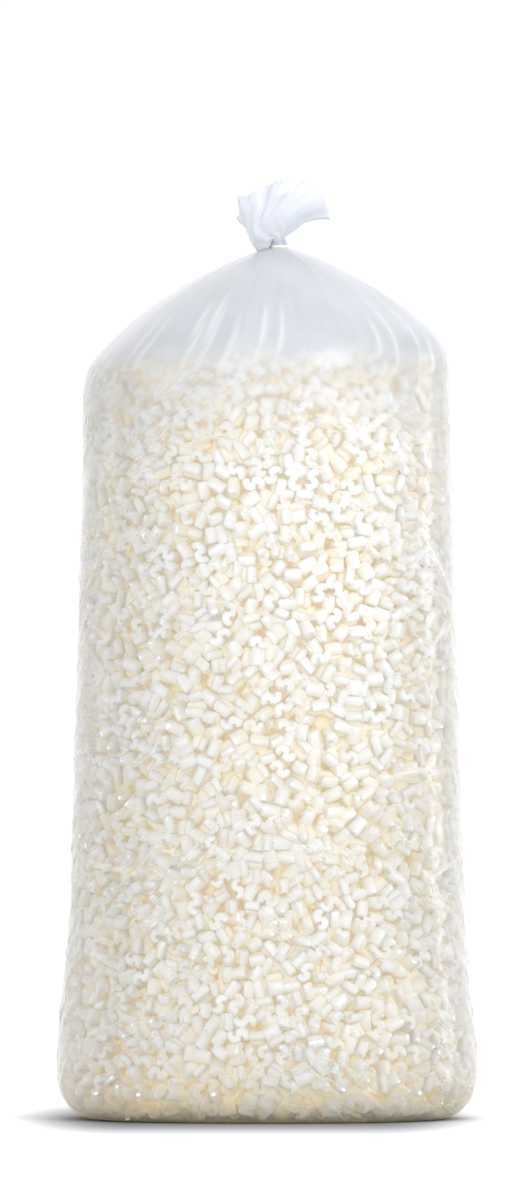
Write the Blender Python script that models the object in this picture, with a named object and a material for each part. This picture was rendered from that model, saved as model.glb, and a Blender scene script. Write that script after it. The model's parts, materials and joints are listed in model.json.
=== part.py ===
"""Clear film bag of S-shaped foam loose fill, tied at the neck and standing on its base.

Units are metres, +Z is up and the front faces -Y. The origin is on the floor, in the
middle of the base. The film is one thin shell: a flat base, a body that leans out to a
settled foot, a tent of gathers from the shoulders to the tied neck, and a ruffled tail.
"""

import math
import random

import bmesh
import bpy
from mathutils import Matrix, Vector, noise
from mathutils.bvhtree import BVHTree

# Bag body
FOOT_HALF_WIDTH = 0.342
FOOT_HEIGHT = 0.100
FOOT_SPREAD = 0.013
FOOT_REACH = 0.150
SHOULDER_HALF_WIDTH = 0.2965
SHOULDER_HEIGHT = 1.214
CORNER_RADIUS = 0.062
BODY_DEPTH_SHARE = 0.94
BODY_SQUARENESS = 2.2

# Tent of gathers, neck and tail
TENT_RISE = 0.2074
NECK_RADIUS = 0.0130
NECK_OFFSET = 0.0196
NECK_PASSAGE = 0.0018
TENT_POWER = 1.5
TENT_FLATNESS = 0.75
GATHER_DEPTH = 0.13
TAIL_HEIGHT = 0.1030
TAIL_HALF_WIDTH = 0.080
TAIL_HALF_DEPTH = 0.046
TAIL_RUFFLE = 0.17
TAIL_DROOP_LEFT = 0.36
TAIL_DROOP_RIGHT = 0.58

# Film and the soft lumps that the fill presses into it
FILM_WALL = 0.0010
LUMP_HEIGHT = 0.0060
LUMP_SIZE = 0.085

# Twist tie
TIE_WIDTH = 0.0045
TIE_THICKNESS = 0.0012
TIE_GAP = 0.0003
TIE_END_LENGTH = 0.022
TIE_END_TURNS = 2.5

# Foam fill; the heap ends a little above the shoulder
HEAP_RISE = 0.018
FILL_GAP = 0.0004
FILL_SIDE_GAP = 0.0015
FILL_PITCH = 0.042
HOLLOW_DEPTH = 0.032
HEAP_LUMP_HEIGHT = 0.012
HEAP_LUMP_SIZE = 0.110

# One foam peanut: a bent strip, cut to length
PEANUT_STRIP = 0.0124
PEANUT_BEND = 0.0064
PEANUT_LENGTH = 0.027
LOOSE_PEANUTS = 30
LOOSE_GAP = 0.0004
LOOSE_HEADROOM = 0.008

NECK_HEIGHT = SHOULDER_HEIGHT + TENT_RISE
FILL_TOP = SHOULDER_HEIGHT + HEAP_RISE

SEGMENTS = 64
FILL_SEGMENTS = 48
BODY_RINGS = 8
TENT_RINGS = 7
TAIL_RINGS = 5

for old in list(bpy.data.objects):
    bpy.data.objects.remove(old, do_unlink=True)


def material(name, colour, roughness, alpha=1.0):
    """A plain plastic surface; alpha below 1 is see-through film."""
    mat = bpy.data.materials.new(name)
    mat.use_nodes = True
    shader = mat.node_tree.nodes["Principled BSDF"]
    shader.inputs["Base Color"].default_value = (*colour, 1.0)
    shader.inputs["Roughness"].default_value = roughness
    shader.inputs["Metallic"].default_value = 0.0
    shader.inputs["Alpha"].default_value = alpha
    return mat


def smoothstep(value):
    value = min(1.0, max(0.0, value))
    return value * value * (3.0 - 2.0 * value)


def fold_pattern(seed):
    """Ridge and valley by turns, each of its own depth, between -1 and 1."""
    rng = random.Random(seed)
    return [(1.0 if k % 2 else -1.0) * rng.uniform(0.35, 1.0) for k in range(SEGMENTS)]


GATHERS = fold_pattern(3)
RUFFLES = fold_pattern(8)
ANGLES = [2.0 * math.pi * k / SEGMENTS for k in range(SEGMENTS)]


def body_half_width(z):
    """The film leans out slowly towards the floor and spreads at the settled foot."""
    rise = (z - FOOT_HEIGHT) / (SHOULDER_HEIGHT - FOOT_HEIGHT)
    foot = FOOT_HALF_WIDTH - FOOT_SPREAD
    settle = FOOT_SPREAD * math.exp(-(((z - FOOT_HEIGHT) / FOOT_REACH) ** 2))
    return foot + (SHOULDER_HALF_WIDTH - foot) * rise + settle


def tent_half_width(climb):
    """The tent from shoulder (climb 0) to neck (climb 1) falls away ever faster."""
    return body_half_width(SHOULDER_HEIGHT) * (1.0 - climb**TENT_POWER) ** TENT_FLATNESS


def profile():
    """Outer half profile as (half width, height, share of the way up the tent)."""
    points = []
    for degrees in (0.0, 30.0, 60.0):
        turn = math.radians(degrees)
        z = CORNER_RADIUS * (1.0 - math.cos(turn))
        inset = CORNER_RADIUS * (1.0 - math.sin(turn))
        points.append((body_half_width(z) - inset, z, 0.0))
    for k in range(BODY_RINGS):
        z = CORNER_RADIUS + (SHOULDER_HEIGHT - CORNER_RADIUS) * k / (BODY_RINGS - 1)
        points.append((body_half_width(z), z, 0.0))
    for k in range(1, TENT_RINGS + 1):
        climb = math.sin(0.5 * math.pi * k / (TENT_RINGS + 0.6)) ** 1.25
        z = SHOULDER_HEIGHT + TENT_RISE * climb
        points.append((tent_half_width(climb), z, climb))
    return points


def inset_profile(points, distance):
    """The same profile moved inwards, square to itself."""
    moved = []
    for k, (width, z, climb) in enumerate(points):
        if k == 0:
            moved.append((width, z + distance, climb))
            continue
        before = points[k - 1]
        after = points[min(k + 1, len(points) - 1)]
        along = Vector((after[0] - before[0], after[1] - before[1])).normalized()
        moved.append((width - distance * along.y, z + distance * along.x, climb))
    return moved


def axis_offset(z):
    """The neck is tied a little to one side of the base's middle."""
    return NECK_OFFSET * smoothstep((z - SHOULDER_HEIGHT) / TENT_RISE * 2.2 + 0.25)


def lump(angle, z, inset):
    """Soft dents of the film over the fill, fading out at the base and up the tent."""
    fade = smoothstep(z / CORNER_RADIUS) * smoothstep((NECK_HEIGHT - z) / (0.6 * TENT_RISE))
    radius = body_half_width(FOOT_HEIGHT)
    where = Vector((radius * math.cos(angle), radius * math.sin(angle), z - inset))
    return LUMP_HEIGHT * fade * noise.noise(where / LUMP_SIZE)


def body_point(angle, width, z, climb, rise=0.0):
    """A point of the bag's round, slightly square section at one height."""
    depth = BODY_DEPTH_SHARE + (1.0 - BODY_DEPTH_SHARE) * climb
    across = abs(math.cos(angle)) ** BODY_SQUARENESS
    deep = abs(math.sin(angle) / depth) ** BODY_SQUARENESS
    radius = width / (across + deep) ** (1.0 / BODY_SQUARENESS)
    k = round(angle * SEGMENTS / (2.0 * math.pi)) % SEGMENTS
    radius *= 1.0 + GATHER_DEPTH * climb**3 * GATHERS[k]
    radius += lump(angle, z, rise)
    return Vector((axis_offset(z) + radius * math.cos(angle), radius * math.sin(angle), z))


def body_rings(inset):
    """Rings of the film from the base's edge to just under the neck."""
    rings = []
    for (width, z, climb), (_, outer_z, _) in zip(inset_profile(profile(), inset), profile()):
        rings.append([body_point(a, width, z, climb, z - outer_z) for a in ANGLES])
    return rings


def waist_rings(radius, share):
    """Two rings of gathered film, the seat of the tie."""
    rings = []
    for z in (NECK_HEIGHT - 0.75 * TIE_WIDTH, NECK_HEIGHT + 0.75 * TIE_WIDTH):
        ring = []
        for k, angle in enumerate(ANGLES):
            reach = radius * (1.0 + share * GATHERS[k])
            ring.append(Vector((NECK_OFFSET + reach * math.cos(angle), reach * math.sin(angle), z)))
        rings.append(ring)
    return rings


def tail_rings(inset):
    """The ruffled fan above the tie; its rim hangs lower at the sides."""
    rings = []
    start = NECK_HEIGHT + 0.75 * TIE_WIDTH
    for j in range(1, TAIL_RINGS + 1):
        share = j / TAIL_RINGS
        ring = []
        for k, angle in enumerate(ANGLES):
            side = math.cos(angle)
            droop = TAIL_DROOP_RIGHT if side > 0 else TAIL_DROOP_LEFT
            height = (TAIL_HEIGHT - 0.75 * TIE_WIDTH) * (1.0 - droop * abs(side) ** 1.6)
            height *= 1.0 + 0.05 * share * RUFFLES[(k + 5) % SEGMENTS]
            spread = math.hypot(side / TAIL_HALF_WIDTH, math.sin(angle) / TAIL_HALF_DEPTH)
            reach = NECK_RADIUS + (1.0 / spread - NECK_RADIUS) * share**1.25
            lobes = 0.07 * math.sin(5.0 * angle + 0.8) + TAIL_RUFFLE * RUFFLES[k]
            reach *= 1.0 + share * lobes
            reach -= inset
            z = start + height * math.sin(0.5 * math.pi * share) ** 0.9
            ring.append(Vector((NECK_OFFSET + reach * side, reach * math.sin(angle), z)))
        rings.append(ring)
    return rings


def build(name, rings, mat, bottom, top=None, join_rims=None):
    """Skin rings of points into a closed mesh; join_rims is a second set for the inside."""
    bm = bmesh.new()
    columns = len(rings[0])

    def skin(ring_set, flip):
        made = [[bm.verts.new(p) for p in ring] for ring in ring_set]
        for low, high in zip(made, made[1:]):
            band(low, high, flip)
        return made

    def band(low, high, flip):
        for k in range(columns):
            n = (k + 1) % columns
            for corners in ((low[k], low[n], high[n]), (low[k], high[n], high[k])):
                bm.faces.new(corners[::-1] if flip else corners)

    def fan(ring, centre, flip):
        hub = bm.verts.new(centre)
        for k in range(columns):
            corners = (ring[(k + 1) % columns], ring[k], hub)
            bm.faces.new(corners[::-1] if flip else corners)

    outer = skin(rings, False)
    fan(outer[0], bottom, False)
    if join_rims:
        inner = skin(join_rims, True)
        fan(inner[0], bottom + Vector((0.0, 0.0, FILM_WALL)), True)
        band(outer[-1], inner[-1], False)
    else:
        fan(outer[-1], top, True)
    mesh = bpy.data.meshes.new(name)
    bm.to_mesh(mesh)
    bm.free()
    return finish(name, mesh, mat)


def finish(name, mesh, mat, sharp_degrees=60.0):
    mesh.materials.append(mat)
    mesh.shade_smooth()
    mesh.set_sharp_from_angle(angle=math.radians(sharp_degrees))
    obj = bpy.data.objects.new(name, mesh)
    bpy.context.scene.collection.objects.link(obj)
    return obj


# The film: an outer and an inner skin that meet at the tail's rim
film_material = material("clear_film", (0.80, 0.82, 0.86), 0.18, 0.35)
waist_share = GATHER_DEPTH
outer_skin = body_rings(0.0) + waist_rings(NECK_RADIUS, waist_share) + tail_rings(0.0)
inner_skin = body_rings(FILM_WALL) + waist_rings(NECK_PASSAGE, 0.0) + tail_rings(FILM_WALL)
film_bag = build(
    "film_bag", outer_skin, film_material, Vector((0.0, 0.0, 0.0)), join_rims=inner_skin
)

# The settled foam mass, up to the heap's top
foam_material = material("expanded_foam", (0.86, 0.85, 0.81), 0.85)


def heap_height(x, y):
    """Top of the heap: uneven, and a little higher towards the middle."""
    span = math.hypot(x, y) / SHOULDER_HALF_WIDTH
    bump = noise.noise(Vector((x, y, 0.3 * HEAP_LUMP_SIZE)) / HEAP_LUMP_SIZE)
    return FILL_TOP + HEAP_LUMP_HEIGHT * (1.0 - span * span + bump)


def film_inside(rings, angle, z):
    """Point of the film's inner face, between its rings and its columns."""
    low, high = next(
        (low, high) for low, high in zip(rings, rings[1:]) if z <= high[0].z or high is rings[-1]
    )
    column = angle * SEGMENTS / (2.0 * math.pi)
    k, share = int(column) % SEGMENTS, column % 1.0
    below = low[k].lerp(low[(k + 1) % SEGMENTS], share)
    above = high[k].lerp(high[(k + 1) % SEGMENTS], share)
    return below.lerp(above, (z - low[0].z) / (high[0].z - low[0].z))


def fill_rings():
    """The foam's rings: its knobs touch the film, with hollows between them."""
    rng = random.Random(12)
    film = body_rings(FILM_WALL)
    angles = [2.0 * math.pi * k / FILL_SEGMENTS for k in range(FILL_SEGMENTS)]
    corner = [(z, 0.0) for width, z, climb in inset_profile(profile(), FILM_WALL + FILL_GAP)[:3]]
    rows = max(2, round((SHOULDER_HEIGHT - CORNER_RADIUS) / FILL_PITCH))
    step = (SHOULDER_HEIGHT - CORNER_RADIUS) / rows
    side = [(CORNER_RADIUS + step * k, HOLLOW_DEPTH if 0 < k < rows else 0.0) for k in range(rows + 1)]
    rings = []
    for z, hollow in corner + side:
        ring = []
        for k, angle in enumerate(angles):
            point = film_inside(film, angle, z)
            low = (k + len(rings)) % 2
            inward = FILL_SIDE_GAP + hollow * rng.uniform(*((0.7, 1.0) if low else (0.0, 0.12)))
            centre = Vector((axis_offset(z), 0.0, z))
            ring.append(point + (centre - point).normalized() * inward)
        rings.append(ring)
    rim = rings[-1]
    for share in (0.93, 0.80, 0.56, 0.30):
        ring = []
        for point in rim:
            x = axis_offset(FILL_TOP) * (1.0 - share) + point.x * share
            y = point.y * share
            ring.append(Vector((x, y, heap_height(x, y))))
        rings.append(ring)
    return rings


heap_middle = axis_offset(FILL_TOP)
peanut_fill = build(
    "peanut_fill",
    fill_rings(),
    foam_material,
    Vector((0.0, 0.0, FILM_WALL + FILL_GAP)),
    top=Vector((heap_middle, 0.0, heap_height(heap_middle, 0.0))),
)


# The twist tie: a band round the neck, its twisted ends at the back
def make_tie():
    inner = NECK_RADIUS * (1.0 + GATHER_DEPTH) + TIE_GAP
    bm = bmesh.new()
    steps = 48
    loops = []
    for k in range(steps):
        angle = 2.0 * math.pi * k / steps
        loop = []
        for reach, up in ((0, -1), (1, -1), (1, 1), (0, 1)):
            r = inner + reach * TIE_THICKNESS
            loop.append(bm.verts.new((r * math.cos(angle), r * math.sin(angle), up * TIE_WIDTH / 2)))
        loops.append(loop)
    for k in range(steps):
        this, after = loops[k], loops[(k + 1) % steps]
        for c in range(4):
            d = (c + 1) % 4
            bm.faces.new((this[c], this[d], after[d], after[c]))
    bmesh.ops.recalc_face_normals(bm, faces=bm.faces)
    band = bpy.data.meshes.new("neck_tie")
    bm.to_mesh(band)
    bm.free()

    bm = bmesh.new()
    turns = 16
    rows = []
    for k in range(turns + 1):
        share = k / turns
        twist = 2.0 * math.pi * TIE_END_TURNS * share
        y = inner + 0.4 * TIE_THICKNESS + TIE_END_LENGTH * share
        row = []
        for wide, thick in ((-1, -1), (1, -1), (1, 1), (-1, 1)):
            a = wide * TIE_WIDTH * 0.42
            b = thick * TIE_THICKNESS * 0.8
            x = a * math.cos(twist) - b * math.sin(twist)
            z = a * math.sin(twist) + b * math.cos(twist)
            row.append(bm.verts.new((x, y, z)))
        rows.append(row)
    for low, high in zip(rows, rows[1:]):
        for c in range(4):
            d = (c + 1) % 4
            bm.faces.new((low[c], low[d], high[d], high[c]))
    bm.faces.new(rows[0][::-1])
    bm.faces.new(rows[-1])
    bmesh.ops.recalc_face_normals(bm, faces=bm.faces)
    ends = bpy.data.meshes.new("tie_ends")
    bm.to_mesh(ends)
    bm.free()

    tie_material = material("coated_tie", (0.83, 0.83, 0.82), 0.45)
    tie = finish("neck_tie", band, tie_material, 35.0)
    cutter = bpy.data.objects.new("tie_ends", ends)
    bpy.context.scene.collection.objects.link(cutter)
    cutter.hide_render = True
    cutter.display_type = "WIRE"
    tie.location = (NECK_OFFSET, 0.0, NECK_HEIGHT)
    cutter.location = tie.location
    join = tie.modifiers.new("twisted_ends", "BOOLEAN")
    join.operation = "UNION"
    join.solver = "EXACT"
    join.object = cutter
    return tie


make_tie()


# Loose peanuts on top of the heap
def peanut_outline():
    """Outline of the bent strip: two hooks, each the other turned by half a turn."""
    half = PEANUT_STRIP / 2
    points = []
    for degrees in (-40, -90, -140, -186):
        turn = math.radians(degrees)
        reach = PEANUT_BEND + half
        points.append((-PEANUT_BEND + reach * math.cos(turn), reach * math.sin(turn)))
    end = math.radians(174)
    middle = Vector((-PEANUT_BEND + PEANUT_BEND * math.cos(end), PEANUT_BEND * math.sin(end)))
    for degrees in (100, 30):
        turn = math.radians(degrees)
        points.append((middle.x + half * math.cos(turn), middle.y + half * math.sin(turn)))
    points.append((-PEANUT_BEND + 0.05 * half, 0.12 * half))
    return [Vector(p) for p in points] + [Vector((-x, -y)) for x, y in points]


def peanut_mesh():
    bm = bmesh.new()
    outline = peanut_outline()
    low = [bm.verts.new((p.x, p.y, -PEANUT_LENGTH / 2)) for p in outline]
    high = [bm.verts.new((p.x, p.y, PEANUT_LENGTH / 2)) for p in outline]
    count = len(outline)
    for k in range(count):
        n = (k + 1) % count
        bm.faces.new((low[k], low[n], high[n], high[k]))
    bm.faces.new(low[::-1])
    bm.faces.new(high)
    bmesh.ops.recalc_face_normals(bm, faces=bm.faces)
    bmesh.ops.triangulate(bm, faces=bm.faces, ngon_method="EAR_CLIP")
    mesh = bpy.data.meshes.new("peanut")
    bm.to_mesh(mesh)
    bm.free()
    return mesh


def tree_of(mesh, place):
    """Search tree of a mesh moved to its place."""
    points = [place @ v.co for v in mesh.vertices]
    mesh.calc_loop_triangles()
    return BVHTree.FromPolygons(points, [t.vertices for t in mesh.loop_triangles])


def loose_reach(size):
    """How far from the heap's middle a loose peanut still fits under the tent."""
    top = FILL_TOP + 1.5 * HEAP_LUMP_HEIGHT + size + LOOSE_HEADROOM
    climb = min(0.9, (top - SHOULDER_HEIGHT) / TENT_RISE)
    return BODY_DEPTH_SHARE * (tent_half_width(climb) - 0.5 * size)


def lay_peanuts():
    """Lower each peanut onto the heap, or onto those already there, until it all but touches."""
    rng = random.Random(21)
    mesh = peanut_mesh()
    mesh.materials.append(foam_material)
    mesh.shade_smooth()
    mesh.set_sharp_from_angle(angle=math.radians(50.0))
    placed = [tree_of(peanut_fill.data, Matrix())]
    size = max(4 * PEANUT_BEND + PEANUT_STRIP, PEANUT_LENGTH)
    for number in range(1, LOOSE_PEANUTS + 1):
        turn = 2.399963 * number
        reach = loose_reach(size) * math.sqrt(number / LOOSE_PEANUTS)
        x = heap_middle + reach * math.cos(turn)
        y = BODY_DEPTH_SHARE * reach * math.sin(turn)
        tip = Vector((1, 0, 0)) if rng.random() < 0.6 else Vector((0, 1, 0))
        lean = Matrix.Rotation(rng.choice((0.5, 0.5, 0.0)) * math.pi, 4, tip)
        spin = Matrix.Rotation(rng.uniform(0.0, 2.0 * math.pi), 4, "Z")
        pose = spin @ lean
        z = heap_height(x, y) + size
        step = size / 4
        while step > LOOSE_GAP / 3:
            lower = tree_of(mesh, Matrix.Translation((x, y, z - step)) @ pose)
            if any(lower.overlap(tree) for tree in placed):
                step /= 2
            else:
                z -= step
        z += LOOSE_GAP * 0.75
        place = Matrix.Translation((x, y, z)) @ pose
        obj = bpy.data.objects.new(f"peanut_{number:02d}", mesh)
        bpy.context.scene.collection.objects.link(obj)
        obj.matrix_world = place
        placed.append(tree_of(mesh, place))


lay_peanuts()
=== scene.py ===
# %% [markdown]
# # A tied bag of foam packing peanuts
# The object is a tall bag of clear polyethylene film, filled with white S-shaped foam
# loose fill and tied at the neck. Three things make its look: thousands of small matt
# foam pieces pressed against the film, the thin glossy film itself, and the milky
# headspace where the film is gathered. This notebook builds them in that order.

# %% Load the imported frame
import json
import math
from functools import partial

import bmesh
import bpy
import numpy as np
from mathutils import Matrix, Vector, noise
from mathutils.bvhtree import BVHTree
from mathutils.kdtree import KDTree

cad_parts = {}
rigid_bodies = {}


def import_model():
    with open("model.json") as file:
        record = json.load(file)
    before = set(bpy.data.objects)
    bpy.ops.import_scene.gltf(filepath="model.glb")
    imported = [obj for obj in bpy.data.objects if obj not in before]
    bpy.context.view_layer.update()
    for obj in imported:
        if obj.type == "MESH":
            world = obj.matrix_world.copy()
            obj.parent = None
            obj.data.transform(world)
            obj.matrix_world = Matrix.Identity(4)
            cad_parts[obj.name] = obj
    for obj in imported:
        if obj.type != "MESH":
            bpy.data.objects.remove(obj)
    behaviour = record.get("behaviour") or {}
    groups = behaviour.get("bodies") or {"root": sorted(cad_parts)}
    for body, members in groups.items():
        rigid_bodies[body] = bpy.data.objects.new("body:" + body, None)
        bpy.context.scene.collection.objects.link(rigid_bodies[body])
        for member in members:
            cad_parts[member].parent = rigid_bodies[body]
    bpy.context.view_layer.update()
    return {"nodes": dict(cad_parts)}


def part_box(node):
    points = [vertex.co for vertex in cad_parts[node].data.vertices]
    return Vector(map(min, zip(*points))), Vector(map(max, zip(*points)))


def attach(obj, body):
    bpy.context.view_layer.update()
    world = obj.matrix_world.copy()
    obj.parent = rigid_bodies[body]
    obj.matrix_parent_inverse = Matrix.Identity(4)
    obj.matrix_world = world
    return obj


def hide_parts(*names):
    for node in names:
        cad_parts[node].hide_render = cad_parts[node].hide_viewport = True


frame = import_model()

# %% [markdown]
# ## Small helpers
# Colours are written as sRGB hex values, the way a colour picker shows them, and one
# function turns them into the linear numbers that Blender's shaders work in. A second
# function adds one shader node: each of its inputs gets a value or a link in one line.

# %% Colour and node helpers
def linear(hex_colour):
    """'#RRGGBB' in sRGB as linear RGBA."""
    parts = [int(hex_colour[i : i + 2], 16) / 255.0 for i in (1, 3, 5)]
    return tuple(c / 12.92 if c <= 0.04045 else ((c + 0.055) / 1.055) ** 2.4 for c in parts) + (1.0,)


def add_node(tree, kind, inputs=None, **attributes):
    """One node; each input gets a value, a socket or a node, which stands for its first output."""
    node = tree.nodes.new("ShaderNode" + kind)
    for name, value in attributes.items():
        setattr(node, name, value)
    for key, value in (inputs or {}).items():
        if isinstance(value, bpy.types.Node):
            value = next(socket for socket in value.outputs if socket.enabled)
        if isinstance(value, bpy.types.NodeSocket):
            tree.links.new(value, node.inputs[key])
        else:
            node.inputs[key].default_value = value
    return node


def new_material(name):
    """An empty node material, and add_node tied to it."""
    material = bpy.data.materials.new(name)
    material.use_nodes = True
    material.node_tree.nodes.clear()
    return material, partial(add_node, material.node_tree)


def smoothstep(value, low=0.0, high=1.0):
    """0 up to low, 1 from high, with an eased rise between them."""
    share = np.clip((value - low) / (high - low), 0.0, 1.0)
    return share * share * (3.0 - 2.0 * share)


# %% [markdown]
# ## The bag's form
# The film is a round, slightly square tube. Its half width is a formula of the height:
# rounded at the floor, spread at the settled foot, leaning in to the shoulders, then
# a tent that falls away to the tied neck. The same sizes shape the solid model, so the
# dressed bag and the solid agree everywhere.

# %% Sizes of the bag, in metres
FOOT_HALF_WIDTH = 0.342
FOOT_HEIGHT = 0.100
FOOT_SPREAD = 0.013
FOOT_REACH = 0.150
SHOULDER_HALF_WIDTH = 0.2965
SHOULDER_HEIGHT = 1.214
CORNER_RADIUS = 0.062
DEPTH_SHARE = 0.94
SQUARENESS = 2.2
TENT_RISE = 0.2074
NECK_HEIGHT = SHOULDER_HEIGHT + TENT_RISE
NECK_RADIUS = 0.0130
NECK_OFFSET = 0.0196
HEAP_TOP = SHOULDER_HEIGHT + 0.018
HEAP_LUMP_HEIGHT = 0.012
HEAP_LUMP_SIZE = 0.110


def half_width(z):
    """Half width of the film at height z, from the floor to the neck."""
    z = np.asarray(z, dtype=float)
    low = np.clip(z, 0.0, SHOULDER_HEIGHT)
    rise = (low - FOOT_HEIGHT) / (SHOULDER_HEIGHT - FOOT_HEIGHT)
    foot = FOOT_HALF_WIDTH - FOOT_SPREAD
    width = foot + (SHOULDER_HALF_WIDTH - foot) * rise
    width = width + FOOT_SPREAD * np.exp(-(((low - FOOT_HEIGHT) / FOOT_REACH) ** 2))
    below = np.clip(CORNER_RADIUS - low, 0.0, CORNER_RADIUS)
    width = width - CORNER_RADIUS + np.sqrt(CORNER_RADIUS**2 - below**2)
    climb = np.clip((z - SHOULDER_HEIGHT) / TENT_RISE, 0.0, 1.0)
    return width * (1.0 - climb**1.5) ** 0.75


def axis_offset(z):
    """The neck is tied a little to the right of the base's middle."""
    return NECK_OFFSET * smoothstep((np.asarray(z) - SHOULDER_HEIGHT) / TENT_RISE * 2.2 + 0.25)


def roundness(cosine, sine, climb=0.0):
    """How far the section reaches in one direction, for a half width of 1."""
    depth = DEPTH_SHARE + (1.0 - DEPTH_SHARE) * climb
    total = np.abs(cosine) ** SQUARENESS + np.abs(sine / depth) ** SQUARENESS
    return total ** (-1.0 / SQUARENESS)


def heap_height(x, y):
    """Top of the foam heap, uneven and a little higher in the middle."""
    span = np.hypot(x, y) / SHOULDER_HALF_WIDTH
    bump = noise.noise(Vector((x, y, 0.3 * HEAP_LUMP_SIZE)) / HEAP_LUMP_SIZE)
    return HEAP_TOP + HEAP_LUMP_HEIGHT * (1.0 - span * span + bump)


print("half width at the foot, middle and shoulder:", half_width([0.1, 0.6, 1.2]).round(3))

# %% [markdown]
# ## The shape of one peanut
# Foam loose fill is extruded through an S-shaped die and cut to length while it swells,
# so each piece is a fat bent strip with two flat cut ends and soft edges. A loft of a
# few rings does it: the outline follows the two hooks, and the outer rings are drawn in
# a little, which rounds the cut edges. Six sizes of bend and length are enough for
# the eye to see no repeats once each piece is turned its own way.

# %% One peanut as points and triangles
PEANUT_STRIP = 0.0142
PEANUT_BEND = 0.0059
PEANUT_LENGTH = 0.029
EDGE_ROUND = 0.0030


def peanut_outline(strip, bend, hook, count):
    """Closed outline of the bent strip; hook is how far each end curls, in degrees."""
    half = strip / 2
    arc = np.radians(np.linspace(0.0, -hook, count + 1)[1:])
    side = (bend + half) * np.stack([np.cos(arc), np.sin(arc)], axis=1) - (bend, 0.0)
    end = math.radians(8.0 - hook)
    middle = bend + 0.12 * half
    tip = (middle * math.cos(end) - bend, middle * math.sin(end))
    turn = np.radians(np.array([-55.0, -112.0, -165.0]) - hook)
    cap = np.add(tip, 0.84 * half * np.stack([np.cos(turn), np.sin(turn)], axis=1))
    notch = np.array([[0.08 * half - bend, 0.10 * half]])
    points = np.concatenate([side, cap, notch])
    return np.concatenate([points, -points])


def drawn_in(outline, amount):
    """The outline moved inward, into the foam, by one amount all round."""
    along = np.roll(outline, -1, axis=0) - np.roll(outline, 1, axis=0)
    normal = np.stack([along[:, 1], -along[:, 0]], axis=1)
    normal /= np.linalg.norm(normal, axis=1, keepdims=True)
    x, y = outline.T
    area = np.sum(x * np.roll(y, -1) - y * np.roll(x, -1))
    return outline - normal * amount * np.sign(area)


def cap_triangles(outline):
    """Triangles that fill the S-shaped cut end, facing up."""
    bm = bmesh.new()
    face = bm.faces.new([bm.verts.new((x, y, 0.0)) for x, y in outline])
    bm.normal_update()
    up = face.normal.z > 0
    bm.verts.index_update()
    made = bmesh.ops.triangulate(bm, faces=[face], ngon_method="EAR_CLIP")
    found = np.array([[v.index for v in f.verts] for f in made["faces"]])
    bm.free()
    return found if up else found[:, ::-1]


def between_rings(rings, columns):
    """Triangles that join closed rings of points, each to the next."""
    k = np.arange(columns)
    after = (k + 1) % columns
    made = []
    for low in range(0, (rings - 1) * columns, columns):
        above = low + columns
        made += [np.c_[low + k, low + after, above + after], np.c_[low + k, above + after, above + k]]
    return np.concatenate(made)


def peanut_shape(strip, bend, length, hook, count, edge_rings):
    """Points, triangles and the number of flat cut-end triangles of one peanut."""
    outline = peanut_outline(strip, bend, hook, count)
    n = len(outline)
    turn = np.linspace(0.0, 0.5 * math.pi, edge_rings + 1) if edge_rings else [0.5 * math.pi]
    edge = EDGE_ROUND if edge_rings else 0.0
    rounding = [(edge * (1 - math.cos(t)), edge * (1 - math.sin(t))) for t in turn]
    levels = [(height - 0.5 * length, inset) for height, inset in rounding]
    levels += [(0.5 * length - height, inset) for height, inset in reversed(rounding)]
    points = np.concatenate([np.c_[drawn_in(outline, inset), np.full(n, z)] for z, inset in levels])
    cap = cap_triangles(outline)
    sides = between_rings(len(levels), n)
    ends = np.concatenate([cap[:, ::-1], cap + (len(levels) - 1) * n])
    a, b, c = (points[sides[:, i]] for i in range(3))
    if np.einsum("ij,ij->i", a, np.cross(b, c)).sum() < 0:
        sides = sides[:, ::-1]
    return points, np.concatenate([ends, sides]), len(ends)


SHAPES = []
for strip, bend, length, hook in (
    (1.00, 1.00, 1.00, 186.0),
    (1.06, 0.96, 0.90, 170.0),
    (0.94, 1.06, 1.08, 200.0),
    (1.02, 1.10, 0.95, 178.0),
    (1.08, 0.92, 1.04, 192.0),
    (0.97, 1.00, 0.84, 160.0),
):
    size = (strip * PEANUT_STRIP, bend * PEANUT_BEND, length * PEANUT_LENGTH, hook)
    SHAPES.append([peanut_shape(*size, 6, 1), peanut_shape(*size, 4, 1), peanut_shape(*size, 3, 0)])
print("triangles in one peanut:", [len(faces) for _, faces, _ in SHAPES[0]])

# %% [markdown]
# ## Pouring the peanuts
# The real bag is filled from a hopper and the pieces settle in every direction. Only
# the outer few centimetres can be seen, so only a layer behind the film is poured. A
# rigid-body simulation of thousands of pieces is slow, so this uses a position based
# one: every piece is four overlapping balls for its neighbours and a ring of real
# corner points for the film. Each round pushes overlapping balls apart, keeps corners
# inside the film and presses the pieces outwards, and each piece moves and turns
# as one rigid thing. Flat faces come to lie against the film, as they do in the bag.

# %% Where each peanut starts
LAYER_DEPTH = 0.047
START_SPACING = 0.0261
FIRST_GAP = 0.009
rng = np.random.default_rng(7)
lid_steps = np.linspace(-0.36, 0.36, 73)
rim_share = np.hypot(*np.meshgrid(lid_steps, lid_steps, indexing="ij")) / SHOULDER_HALF_WIDTH
LID_CLEARANCE = 0.010
LID_RIM_RISE = 0.010
LID = np.array([[heap_height(x, y) for y in lid_steps] for x in lid_steps])
LID = LID + LID_CLEARANCE + LID_RIM_RISE * np.clip(rim_share, 0, 1) ** 2


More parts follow.
